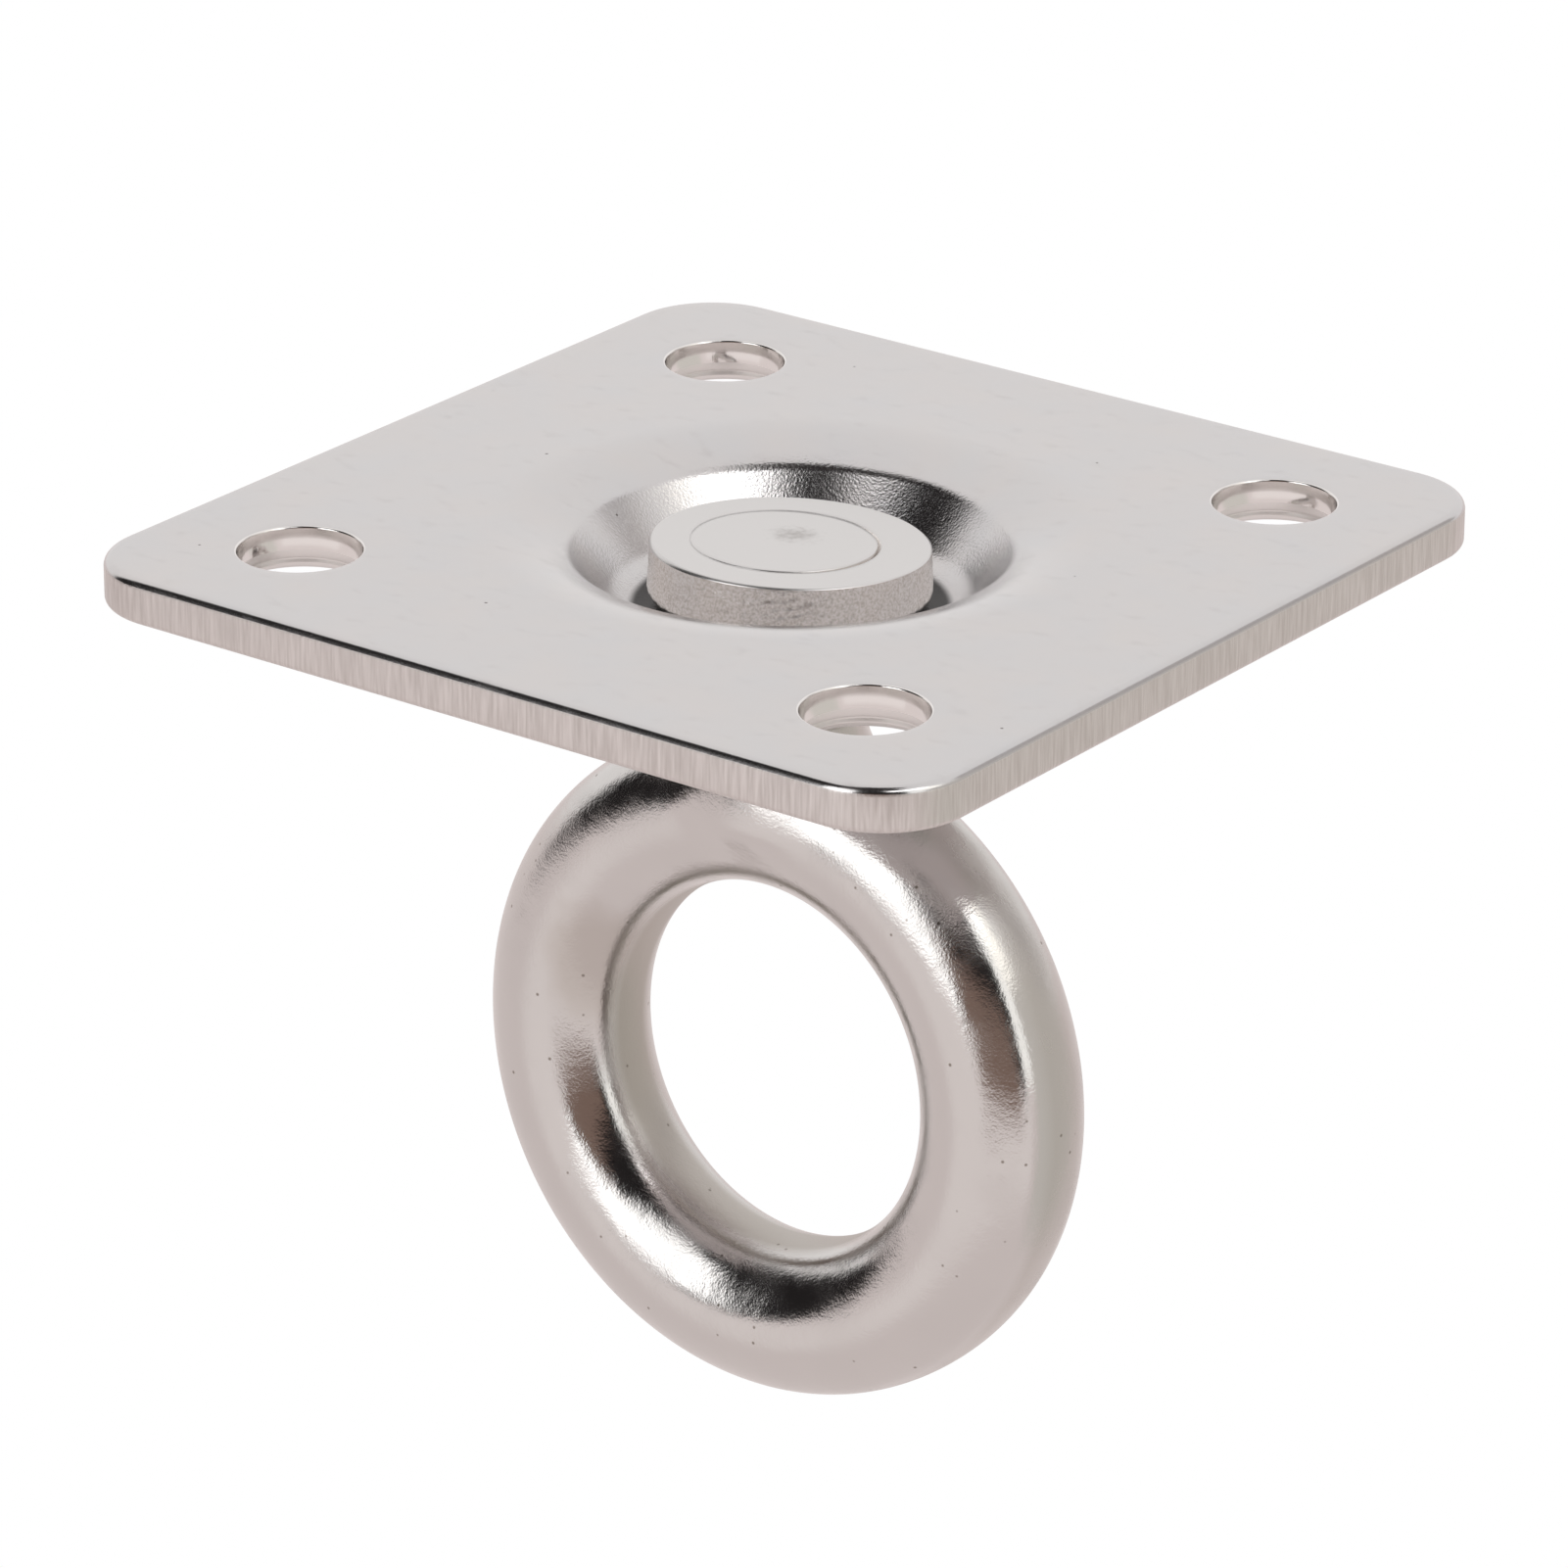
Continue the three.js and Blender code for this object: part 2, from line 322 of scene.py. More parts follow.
# %% Sizes of the collar
HEAD_TOP = -0.86 * MM
COLLAR_RADIUS = 6.91 * MM
COLLAR_HEIGHT = 2.82 * MM
COLLAR_BOTTOM_ROUND = 0.6 * MM
COLLAR_RIM_BREAK = 0.16 * MM
RIM_BREAK_TILT = 37  # degrees up from level that the broken rim faces
COLLAR_FLARE = 0.10 * MM
SHANK_RADIUS = 3.75 * MM
PEEN_RADIUS = 4.62 * MM
PEEN_OFFSET = Vector((-0.38, -0.07)) * MM
PEEN_DEPTH = 1.5 * MM
SEAM_WIDTH = 0.04 * MM
SEAM_DEPTH = 0.07 * MM
GRIND_SLOPE = 0.033  # how far the ground face falls for each step towards +X
GRIND_REACH = 0.3 * MM  # how far below the face the tilt dies out
DRIFT_END = 0.6 * MM  # this far inside the rim, the rows of the ground face are true circles
TURNED_STEPS = 360
GROUND_FACE, CAST_SIDE = 0, 1


def off_centre(centre, steps, whole, middle):
    """Circles that share a middle inside one radius and drift to the shank's axis outside it."""
    inner, outer = whole, COLLAR_RADIUS - DRIFT_END

    def outline(radius):
        share = min(1, max(0, (outer - radius) / (outer - inner)))
        return circle((centre[0] + middle.x * share, centre[1] + middle.y * share), steps)(radius)

    return outline


def grind(obj):
    """Tilts the ground face: it falls a little towards +X, as the CAD's does."""
    reach = HEAD_TOP - GRIND_REACH
    for vertex in obj.data.vertices:
        share = min(1, max(0, (vertex.co.z - reach) / (HEAD_TOP - reach)))
        vertex.co.z -= GRIND_SLOPE * vertex.co.x * share


# %% Build the collar
collar_bottom = HEAD_TOP - COLLAR_HEIGHT
seam_outer = PEEN_RADIUS + SEAM_WIDTH / 2
bore = SHANK_RADIUS + SEAM_WIDTH / 2
side_low = collar_bottom + COLLAR_BOTTOM_ROUND
side_high = HEAD_TOP - COLLAR_RIM_BREAK
SIDE_ROWS = 26
CREASE = 0.01 * MM  # a row this close to a corner keeps it crisp under smooth shading


def side_row(share):
    """A point of the slightly flared side, share of the way up."""
    return COLLAR_RADIUS + COLLAR_FLARE * (1 - share), side_low + (side_high - side_low) * share


rim_top = COLLAR_RADIUS - COLLAR_RIM_BREAK * math.tan(math.radians(RIM_BREAK_TILT))
COLLAR_PROFILE = [
    (bore, collar_bottom),
    (bore + 0.5 * MM, collar_bottom),
    *arc(COLLAR_RADIUS + COLLAR_FLARE - COLLAR_BOTTOM_ROUND, side_low, COLLAR_BOTTOM_ROUND, -90, 0, 10),
    *[side_row(k / SIDE_ROWS) for k in range(1, SIDE_ROWS)],
    (COLLAR_RADIUS, side_high - CREASE),
    (COLLAR_RADIUS, side_high),
    (rim_top, HEAD_TOP),
    (rim_top - CREASE, HEAD_TOP),
    (COLLAR_RADIUS - 0.3 * MM, HEAD_TOP),
    (seam_outer + SEAM_DEPTH + 0.2 * MM, HEAD_TOP),
    (seam_outer + SEAM_DEPTH, HEAD_TOP),
    (seam_outer, HEAD_TOP - SEAM_DEPTH),
    (bore, HEAD_TOP - PEEN_DEPTH),
    (bore, collar_bottom),
]


def collar_finish(height):
    return GROUND_FACE if height > side_high else CAST_SIDE


collar_bm = bmesh.new()
sweep(collar_bm, off_centre((0, 0), TURNED_STEPS, bore, PEEN_OFFSET), COLLAR_PROFILE, collar_finish)
bmesh.ops.remove_doubles(collar_bm, verts=collar_bm.verts, dist=1e-8)
collar = finish_mesh(collar_bm, "ground_collar")

# %% [markdown]
# The side of the collar came out of a ceramic mould, so it is pebbled. The pebbles are about
# 0.3 mm across and stand a few hundredths of a millimetre proud: enough to catch light one by
# one, so they are real relief in the mesh, which has a vertex about every 0.1 mm there.

# %% Pebble the cast side
PEBBLE_SIZE = 0.30 * MM
PEBBLE_HEIGHT = 0.03 * MM
for vertex in collar.data.vertices:
    out = math.hypot(vertex.co.x, vertex.co.y)
    depth = side_high - 0.1 * MM - vertex.co.z
    if out > COLLAR_RADIUS - COLLAR_BOTTOM_ROUND and depth > 0:
        here = vertex.co / PEBBLE_SIZE
        lift = noise.noise(here) + 0.5 * noise.noise(here * 2.1) + 0.3 * noise.noise(here * 0.35)
        push = 1 + (lift - 0.6) * PEBBLE_HEIGHT * min(1, depth / (0.3 * MM)) / out
        vertex.co.x *= push
        vertex.co.y *= push
grind(collar)
collar.data.transform(SHANK_FRAME)

# %% Build the shank and its peened end
SHOULDER_TOP = -6.98 * MM
seam_inner = PEEN_RADIUS - SEAM_WIDTH / 2
SHANK_PROFILE = [
    (0.02 * MM, SHOULDER_TOP - 0.6 * MM),
    (SHANK_RADIUS, SHOULDER_TOP - 0.6 * MM),
    (SHANK_RADIUS, collar_bottom),
    (SHANK_RADIUS, HEAD_TOP - PEEN_DEPTH),
    (seam_inner, HEAD_TOP - SEAM_DEPTH),
    (seam_inner - SEAM_DEPTH * 0.6, HEAD_TOP),
    (seam_inner - SEAM_DEPTH - 0.2 * MM, HEAD_TOP),
    (1.5 * MM, HEAD_TOP),
    (0.02 * MM, HEAD_TOP),
]
GROUND_END, FORGED_SIDE = 0, 1


def shank_finish(height):
    return GROUND_END if height > HEAD_TOP - SEAM_DEPTH else FORGED_SIDE


shank_bm = bmesh.new()
first, last = sweep(shank_bm, circle((0, 0), TURNED_STEPS), SHANK_PROFILE, shank_finish)
shank_bm.faces.new(first).material_index = FORGED_SIDE
shank_bm.faces.new(last)
shank = finish_mesh(shank_bm, "shank_end")
for vertex in shank.data.vertices:
    if vertex.co.z > HEAD_TOP - 0.9 * PEEN_DEPTH:
        vertex.co += PEEN_OFFSET.to_3d()
grind(shank)
shank.data.transform(SHANK_FRAME)

# %% [markdown]
# ## The forged eye
# Ring, neck and shoulder are one forging, so they flow into each other. A formula that gives the
# distance to the surface does this best: each simple body has its own distance, and a soft
# minimum runs them together like hot metal. A coarse mesh is remeshed over the bodies and every
# vertex then slides onto the formula's surface, which also gives exact normals.

# %% Distance to the eye's surface
RING_RADIUS = 13.41 * MM
RING_DROP = 27.93 * MM
SECTION_RADIAL = 4.12 * MM  # the bar's half width before its flash is trimmed
SECTION_AXIAL = 3.82 * MM
FLASH_BAND = 4.11 * MM
FLASH_SOFTNESS = 0.90 * MM
TRIMMED_FROM = 3.0 * MM  # trimming only shows this far from the middle of the bar
TRIMMED_HALF = 1.30 * MM
TRIMMED_FADE = 0.80 * MM
TRIMMED_OUTSIDE = 0.45  # how much of it still shows outside the ring
NECK_RADIUS = 3.8 * MM
NECK_BLEND = 2.2 * MM
SHOULDER_RADIUS = 5.6 * MM
SHOULDER_HEIGHT = 1.0 * MM
SHOULDER_ROUND = 0.3 * MM
SHOULDER_BLEND = 2.4 * MM


def soft_min(a, b, reach):
    share = np.clip(0.5 + 0.5 * (b - a) / reach, 0, 1)
    return b * (1 - share) + a * share - reach * share * (1 - share)


def ring_distance(p):
    """A slightly oval bar bent to a ring, flattened inside and out where the flash was trimmed."""
    across = np.hypot(p[:, 0], p[:, 2] + RING_DROP) - RING_RADIUS
    along = p[:, 1]
    size = np.hypot(across / SECTION_RADIAL, along / SECTION_AXIAL)
    bar = np.hypot(across, along) * (1 - 1 / np.maximum(size, 1e-6))
    band = np.abs(across) - FLASH_BAND
    return -soft_min(-bar, -band, FLASH_SOFTNESS)


def trimmed_share(p):
    """1 on the flash trimmed inside the ring, less on the outside's, 0 elsewhere."""
    across = np.hypot(p[:, 0], p[:, 2] + RING_DROP) - RING_RADIUS
    beside = np.clip(0.5 + (TRIMMED_HALF - np.abs(p[:, 1])) / TRIMMED_FADE, 0, 1)
    far = np.clip((np.abs(across) - TRIMMED_FROM) / (0.5 * MM), 0, 1)
    return beside * far * np.where(across > 0, TRIMMED_OUTSIDE, 1)


def rounded_disc(p, radius, low, high, rounding):
    """A short cylinder about the shank with rounded edges."""
    out = np.hypot(p[:, 0], p[:, 1]) - (radius - rounding)
    over = np.abs(p[:, 2] - (low + high) / 2) - ((high - low) / 2 - rounding)
    outside = np.hypot(np.maximum(out, 0), np.maximum(over, 0))
    return outside + np.minimum(np.maximum(out, over), 0) - rounding


def eye_distance(p):
    ring_top = -RING_DROP + RING_RADIUS
    neck = rounded_disc(p, NECK_RADIUS, ring_top, SHOULDER_TOP - 0.5 * MM, 0.2 * MM)
    shoulder = rounded_disc(
        p, SHOULDER_RADIUS, SHOULDER_TOP - SHOULDER_HEIGHT, SHOULDER_TOP, SHOULDER_ROUND
    )
    return soft_min(soft_min(ring_distance(p), neck, NECK_BLEND), shoulder, SHOULDER_BLEND)


# %% Rough mesh of the eye, remeshed evenly
VOXEL = 0.22 * MM
ROUGH_RING_STEPS = 120
ROUGH_BAR_STEPS = 32


def rough_eye():
    """The ring and the neck as two plain closed bodies that overlap."""
    bm = bmesh.new()
    loops = []
    for a in np.linspace(0, 2 * math.pi, ROUGH_RING_STEPS, endpoint=False):
        spoke = Vector((math.cos(a), 0, math.sin(a)))
        loops.append([
            bm.verts.new(spoke * (RING_RADIUS + FLASH_BAND * math.cos(b))
                         + Vector((0, SECTION_AXIAL * math.sin(b), -RING_DROP)))
            for b in np.linspace(0, 2 * math.pi, ROUGH_BAR_STEPS, endpoint=False)
        ])
    for i, loop in enumerate(loops):
        last_loop = loops[i - 1]
        for j in range(ROUGH_BAR_STEPS):
            bm.faces.new((last_loop[j - 1], loop[j - 1], loop[j], last_loop[j]))
    ring_top = -RING_DROP + RING_RADIUS
    shoulder_low = SHOULDER_TOP - SHOULDER_HEIGHT
    neck = [(0.1 * MM, ring_top), (NECK_RADIUS, ring_top), (NECK_RADIUS, shoulder_low),
            (SHOULDER_RADIUS, shoulder_low), (SHOULDER_RADIUS, SHOULDER_TOP), (0.1 * MM, SHOULDER_TOP)]
    first, last = sweep(bm, circle((0, 0), 48), neck)
    bm.faces.new(first)
    bm.faces.new(last)
    return finish_mesh(bm, "forged_eye")


eye = rough_eye()
remesh = eye.modifiers.new("even", "REMESH")
remesh.mode = "VOXEL"
remesh.voxel_size = VOXEL
even = bpy.data.meshes.new_from_object(eye.evaluated_get(bpy.context.evaluated_depsgraph_get()))
eye.modifiers.clear()
eye.data = even
print("even mesh", len(even.vertices), "vertices")


# %% Slide every vertex onto the surface
def slope_of(distance, p, step=0.01 * MM):
    """The distance's gradient by central differences."""
    parts = []
    for axis in np.eye(3) * step:
        parts.append((distance(p + axis) - distance(p - axis)) / (2 * step))
    return np.stack(parts, 1)


points = np.empty(len(even.vertices) * 3)
even.vertices.foreach_get("co", points)
points = points.reshape(-1, 3)
edge_ends = np.empty(len(even.edges) * 2, int)
even.edges.foreach_get("vertices", edge_ends)
edge_ends = edge_ends.reshape(-1, 2)
neighbours = np.bincount(edge_ends.ravel(), minlength=len(points))[:, None]


def settle(points, rounds):
    """Evens out the spacing and goes back to the surface, a few times over."""
    for _ in range(rounds):
        total = np.zeros_like(points)
        np.add.at(total, edge_ends[:, 0], points[edge_ends[:, 1]])
        np.add.at(total, edge_ends[:, 1], points[edge_ends[:, 0]])
        points = points + 0.5 * (total / neighbours - points)
        for _ in range(3):
            g = slope_of(eye_distance, points)
            length = np.maximum((g * g).sum(1), 1e-3)
            points = points - (eye_distance(points) / length)[:, None] * g
    return points


points = settle(points, 6)
even.vertices.foreach_set("co", points.ravel())
normals = slope_of(eye_distance, points)
normals /= np.linalg.norm(normals, axis=1)[:, None]
even.shade_smooth()
even.normals_split_custom_set_from_vertices(normals.tolist())
trimmed = even.attributes.new("trimmed", "FLOAT", "POINT")
trimmed.data.foreach_set("value", trimmed_share(points))
even.transform(SHANK_FRAME)
even.update()
print("furthest from the surface", round(np.abs(eye_distance(points)).max() / MM, 5), "mm")

# %% [markdown]
# ## The studio
# Polished steel has almost no colour of its own: it shows the room. A small-parts bench is a white
# tent over a white table, with softboxes on both sides of the camera and above it, and the gaps
# between them stay dark. Those dark gaps draw the shape of the ring and the dish, so they matter
# as much as the lights. The tent is painted on the world by direction, because the object is so
# small that a panel half a metre away looks the same from every part of it.

# %% Colours, and one function that adds a node


def linear(hex_colour):
    """sRGB hex to linear red, green, blue and alpha."""
    parts = [int(hex_colour[i:i + 2], 16) / 255 for i in (1, 3, 5)]
    return (*[c / 12.92 if c <= 0.04045 else ((c + 0.055) / 1.055) ** 2.4 for c in parts], 1)


def add(tree, kind, inputs=None, **settings):
    """Adds a node. Settings are its own options; inputs are values or sockets to link."""
    made = tree.nodes.new(kind)
    for name, value in settings.items():
        setattr(made, name, value)
    for name, value in (inputs or {}).items():
        if isinstance(value, bpy.types.NodeSocket):
            tree.links.new(value, made.inputs[name])
        else:
            made.inputs[name].default_value = value
    return made


# %% Panels of the tent
# Each has a bearing and a height, from and to in degrees, a soft border, a colour and a strength.
PANELS = {
    "table": ((-200, 200), (-95, 1), 5, "#ede3e1", 1.0),
    "table_front": ((-40, 75), (-34, 0), 12, "#fbf3f1", 1.0),
    "beige_wall": ((88, 150), (-45, 28), 14, "#dcd8d2", 1.0),
    "dark_room_left": ((-78, -22), (-4, 62), 7, "#242222", 1.0),
    "dark_room_above": ((-66, 80), (54, 87), 10, "#3a3636", 1.0),
    "pale_doorway": ((140, 158), (10, 38), 6, "#c4bfbd", 1.0),
    "dark_zenith": ((-200, 200), (77, 96), 4, "#2a2727", 1.0),
    "camera_gap": ((0, 71), (-3, 60), 4, "#242222", 1.0),
    "camera_stand": ((6, 56), (-10, 18), 10, "#8a746a", 1.0),
    "softbox_left": ((-31, 4), (-1, 43), 4, "#ffffff", 2.0),
    "softbox_right": ((67, 88), (-1, 47), 3, "#fbfbf8", 1.4),
    "softbox_far_right": ((84, 114), (27, 47), 4, "#fffdf6", 1.7),
    "softbox_above": ((46, 104), (46, 57), 8, "#ffffff", 3.6),
}

# %% Build the tent
# The first panel is mixed over the plain cloth of the tent, and each later one over all before it.
world = bpy.data.worlds.new("light_tent")
world.use_nodes = True
bpy.context.scene.world = world
tent = world.node_tree
tent.nodes.clear()
towards = add(tent, "ShaderNodeTexCoord").outputs["Generated"]
split = add(tent, "ShaderNodeSeparateXYZ", {0: towards}).outputs
front = add(tent, "ShaderNodeMath", {0: 0.0, 1: split["Y"]}, operation="SUBTRACT").outputs[0]
bearing = add(tent, "ShaderNodeMath", {0: split["X"], 1: front}, operation="ARCTAN2").outputs[0]
height = add(tent, "ShaderNodeMath", {0: split["Z"]}, operation="ARCSINE").outputs[0]


def within(tree, value, span, border):
    """1 inside the span of degrees, falling smoothly to 0 across its border on both sides."""
    masks = []
    for low, high in ((span[0] - border, span[0] + border), (span[1] + border, span[1] - border)):
        limits = {"Value": value, "From Min": math.radians(low), "From Max": math.radians(high)}
        masks.append(add(tree, "ShaderNodeMapRange", limits, interpolation_type="SMOOTHSTEP").outputs[0])
    return add(tree, "ShaderNodeMath", {0: masks[0], 1: masks[1]}, operation="MULTIPLY").outputs[0]


glow = linear("#fffdfc")
for name, (bearings, heights, border, colour, strength) in PANELS.items():
    across = within(tent, bearing, bearings, border / 2)
    upward = within(tent, height, heights, border / 2)
    mask = add(tent, "ShaderNodeMath", {0: across, 1: upward}, operation="MULTIPLY").outputs[0]
    shade = [c * strength for c in linear(colour)[:3]] + [1]
    layer = {"Factor": mask, "A": glow, "B": shade}
    mixed = add(tent, "ShaderNodeMix", layer, data_type="RGBA", label=name)
    glow = mixed.outputs["Result"]
lit = add(tent, "ShaderNodeBackground", {"Color": glow}).outputs[0]
seen = add(tent, "ShaderNodeBackground", {"Color": (1, 1, 1, 1)}).outputs[0]
rays = add(tent, "ShaderNodeLightPath").outputs["Is Camera Ray"]
both = add(tent, "ShaderNodeMixShader", {0: rays, 1: lit, 2: seen}).outputs[0]
add(tent, "ShaderNodeOutputWorld", {"Surface": both})
print("tent with", len(PANELS), "panels")

# %% Floor and colour handling
# The floor is a lit white sheet well below, so nothing blocks the eye from underneath.
FLOOR_HEIGHT = -0.6
FLOOR_REACH = 12
floor_bm = bmesh.new()
bmesh.ops.create_grid(floor_bm, x_segments=4, y_segments=4, size=FLOOR_REACH)
floor = finish_mesh(floor_bm, "floor")
floor.location.z = FLOOR_HEIGHT
floor.visible_glossy = False
white_acrylic = bpy.data.materials.new("backlit_white_acrylic")
white_acrylic.use_nodes = True
acrylic = white_acrylic.node_tree
acrylic.nodes.clear()
lamp = add(acrylic, "ShaderNodeEmission", {"Color": (1, 1, 1, 1), "Strength": 1.0})
add(acrylic, "ShaderNodeOutputMaterial", {"Surface": lamp.outputs[0]})
floor.data.materials.append(white_acrylic)
bpy.context.scene.view_settings.view_transform = "Standard"

# %% [markdown]
# ## How the finishes are made
# Every surface here is one metal, AISI 304 stainless steel, so one base colour serves all, a grey
# with a trace of warmth. What differs is the last tool that touched it: rolls, a shear, a punch, a
# casting mould, a grinding belt or a polishing drum. Each leaves relief of its own size. Relief
# goes in as bump with its height in metres; the shape above it is in the mesh.

# %% Start of every finish


def start_finish(name, colour, roughness):
    """A metal: its material, node tree and shader, and the place on the object in millimetres."""
    print("finish", name)
    material = bpy.data.materials.new(name)
    material.use_nodes = True
    tree = material.node_tree
    shader = tree.nodes["Principled BSDF"]
    shader.inputs["Base Color"].default_value = linear(colour)
    shader.inputs["Metallic"].default_value = 1
    shader.inputs["Roughness"].default_value = roughness
    place = add(tree, "ShaderNodeTexCoord").outputs["Object"]
    millimetres = add(tree, "ShaderNodeVectorMath", {0: place, "Scale": 1 / MM}, operation="SCALE")
    return material, tree, shader, millimetres.outputs[0]


def ramp(tree, value, low, high, start=0.0, end=1.0):
    """Start below low, end above high, and a smooth change between."""
    limits = {"Value": value, "From Min": low, "From Max": high, "To Min": start, "To Max": end}
    return add(tree, "ShaderNodeMapRange", limits, interpolation_type="SMOOTHSTEP").outputs[0]


# %% [markdown]
# ## Cold-rolled sheet, tumbled
# The plate's faces keep the even, silky finish of cold-rolled sheet after a tumble in the drum.
# Under a plain tent it looks almost flat grey. Where the press stretched it into the dish, the
# crystals stand proud as fine grain, which breaks every reflected edge into sparks. The foot of
# the dish is painted near black, as painted shade in the hollow beside the collar.
# Handling adds pin-prick pits and faint rubbed streaks.

# %% Sheet finish
ROLLED_GRAIN = 0.13     # mm; real grain is finer still, and this is the finest that shows
GRAIN_HEIGHT = 20e-6    # m, where the sheet is stretched
ROLL_SWELL = 4.5        # mm from one faint wave of the rolls to the next
SWELL_HEIGHT = 14e-6    # m
STRETCHED_FROM = 13.2   # mm from the shank, where the press began to stretch the sheet
SHADED_FOOT_TO = 7.6         # mm from the shank, where the painted shade in the foot of the dish ends
PIT_SPACING = 2.6       # mm


def sheet_finish():
    material, tree, shader, place = start_finish("cold_rolled_stainless_sheet", "#cecccb", 0.19)
    grain = add(tree, "ShaderNodeTexNoise", {"Vector": place, "Scale": 1 / ROLLED_GRAIN, "Detail": 4.0})
    swell = add(tree, "ShaderNodeTexNoise", {"Vector": place, "Scale": 1 / ROLL_SWELL, "Detail": 2.0})
    flat = add(tree, "ShaderNodeVectorMath", {0: place, 1: (1, 1, 0)}, operation="MULTIPLY").outputs[0]
    out = add(tree, "ShaderNodeVectorMath", {0: flat}, operation="LENGTH").outputs["Value"]
    height = ramp(tree, out, STRETCHED_FROM - 2.0, STRETCHED_FROM, 1.0, 0.12)
    sparks = {"Height": grain.outputs[0], "Strength": height, "Distance": GRAIN_HEIGHT}
    fine = add(tree, "ShaderNodeBump", sparks)
    waves = {"Height": swell.outputs[0], "Distance": SWELL_HEIGHT, "Normal": fine.outputs[0]}
    broad = add(tree, "ShaderNodeBump", waves)
    tree.links.new(broad.outputs[0], shader.inputs["Normal"])

    rub = add(tree, "ShaderNodeMapping", {"Vector": place, "Rotation": (0, 0, 0.5), "Scale": (0.6, 1.0, 1)})
    streaks = add(tree, "ShaderNodeTexNoise", {"Vector": rub.outputs[0], "Scale": 1.1, "Detail": 8.0})
    dull = ramp(tree, streaks.outputs[0], 0.45, 0.75, 0.17, 0.23)
    tree.links.new(dull, shader.inputs["Roughness"])

    pits = add(tree, "ShaderNodeTexVoronoi", {"Vector": place, "Scale": 1 / PIT_SPACING, "Randomness": 1.0})
    pit = ramp(tree, pits.outputs["Distance"], 0.018, 0.04, 1.0, 0.0)
    chance = add(tree, "ShaderNodeSeparateColor", {0: pits.outputs["Color"]}).outputs[0]
    chosen = add(tree, "ShaderNodeMath", {0: chance, 1: 0.62}, operation="GREATER_THAN").outputs[0]
    spot = add(tree, "ShaderNodeMath", {0: pit, 1: chosen}, operation="MULTIPLY").outputs[0]
    tone = {"Factor": swell.outputs[0], "A": linear("#cfcac8"), "B": linear("#c9c9cb")}
    steel_tone = add(tree, "ShaderNodeMix", tone, data_type="RGBA").outputs["Result"]
    rubbed = {"Factor": ramp(tree, streaks.outputs[0], 0.56, 0.85, 0.0, 0.16), "A": steel_tone,
              "B": linear("#a9a29f")}
    worn = add(tree, "ShaderNodeMix", rubbed, data_type="RGBA").outputs["Result"]
    pitted = {"Factor": spot, "A": worn, "B": linear("#6b6562")}
    clean = add(tree, "ShaderNodeMix", pitted, data_type="RGBA").outputs["Result"]
    # Painted shade: inside this radius the foot of the dish is coloured near black.
    shaded_foot = {"Factor": ramp(tree, out, SHADED_FOOT_TO, SHADED_FOOT_TO + 0.5, 1.0, 0.0), "A": clean,
              "B": linear("#1c1a19")}
    final = add(tree, "ShaderNodeMix", shaded_foot, data_type="RGBA").outputs["Result"]
    tree.links.new(final, shader.inputs["Base Color"])
    return material


# %% [markdown]
# ## Sheared side
# The blanking die leaves fine upright lines down the side of the sheet, each the trace of a nick
# in the die. They scatter light sideways, so the side looks silky and a little darker and pinker
# than the faces, with no clear reflection in it.

# %% Sheared side finish
DIE_LINE = 0.16          # mm between one upright line and the next
DIE_LINE_HEIGHT = 20e-6  # m


def sheared_finish():
    material, tree, shader, place = start_finish("sheared_stainless_edge", "#d6d0cd", 0.36)
    upright = add(tree, "ShaderNodeMapping", {"Vector": place, "Scale": (1, 1, 0.07)}).outputs[0]
    lines = add(tree, "ShaderNodeTexNoise", {"Vector": upright, "Scale": 1 / DIE_LINE, "Detail": 4.0})
    relief = {"Height": lines.outputs[0], "Distance": DIE_LINE_HEIGHT}
    tree.links.new(add(tree, "ShaderNodeBump", relief).outputs[0], shader.inputs["Normal"])
    tint = {"Factor": lines.outputs[0], "A": linear("#bdb6b2"), "B": linear("#e6e2e0")}
    tree.links.new(add(tree, "ShaderNodeMix", tint, data_type="RGBA").outputs["Result"],
                   shader.inputs["Base Color"])
    tree.links.new(ramp(tree, lines.outputs[0], 0.35, 0.7, 0.46, 0.3), shader.inputs["Roughness"])
    return material


# %% [markdown]
# ## Punched wall
# A punch cuts the upper part of a hole clean and burnishes it, so it mirrors the room in upright
# streaks. Below a fine line the metal tore instead of being cut, and that part is pale and dull.

# %% Punched wall finish
PUNCH_STREAK = 0.3     # mm between burnished streaks
TORN_CRUMB = 0.12      # mm across one crumb of the torn part
PUNCHED_HEIGHT = 9e-6  # m


def punched_finish():
    material, tree, shader, place = start_finish("punched_stainless_wall", "#e4e1df", 0.2)
    height = add(tree, "ShaderNodeSeparateXYZ", {0: place}).outputs["Z"]
    torn = ramp(tree, height, -CLEAN_CUT / MM - 0.03, -CLEAN_CUT / MM, 1.0, 0.0)
    upright = add(tree, "ShaderNodeMapping", {"Vector": place, "Scale": (1, 1, 0.12)}).outputs[0]
    streaks = add(tree, "ShaderNodeTexNoise", {"Vector": upright, "Scale": 1 / PUNCH_STREAK, "Detail": 3.0})
    crumbs = add(tree, "ShaderNodeTexNoise", {"Vector": place, "Scale": 1 / TORN_CRUMB, "Detail": 3.0})
    relief = {"Factor": torn, "A": streaks.outputs[0], "B": crumbs.outputs[0]}
    mixed = add(tree, "ShaderNodeMix", relief).outputs["Result"]
    bump = add(tree, "ShaderNodeBump", {"Height": mixed, "Distance": PUNCHED_HEIGHT})
    tree.links.new(bump.outputs[0], shader.inputs["Normal"])
    rough = add(tree, "ShaderNodeMapRange", {"Value": torn, "To Min": 0.14, "To Max": 0.42})
    tree.links.new(rough.outputs[0], shader.inputs["Roughness"])
    return material


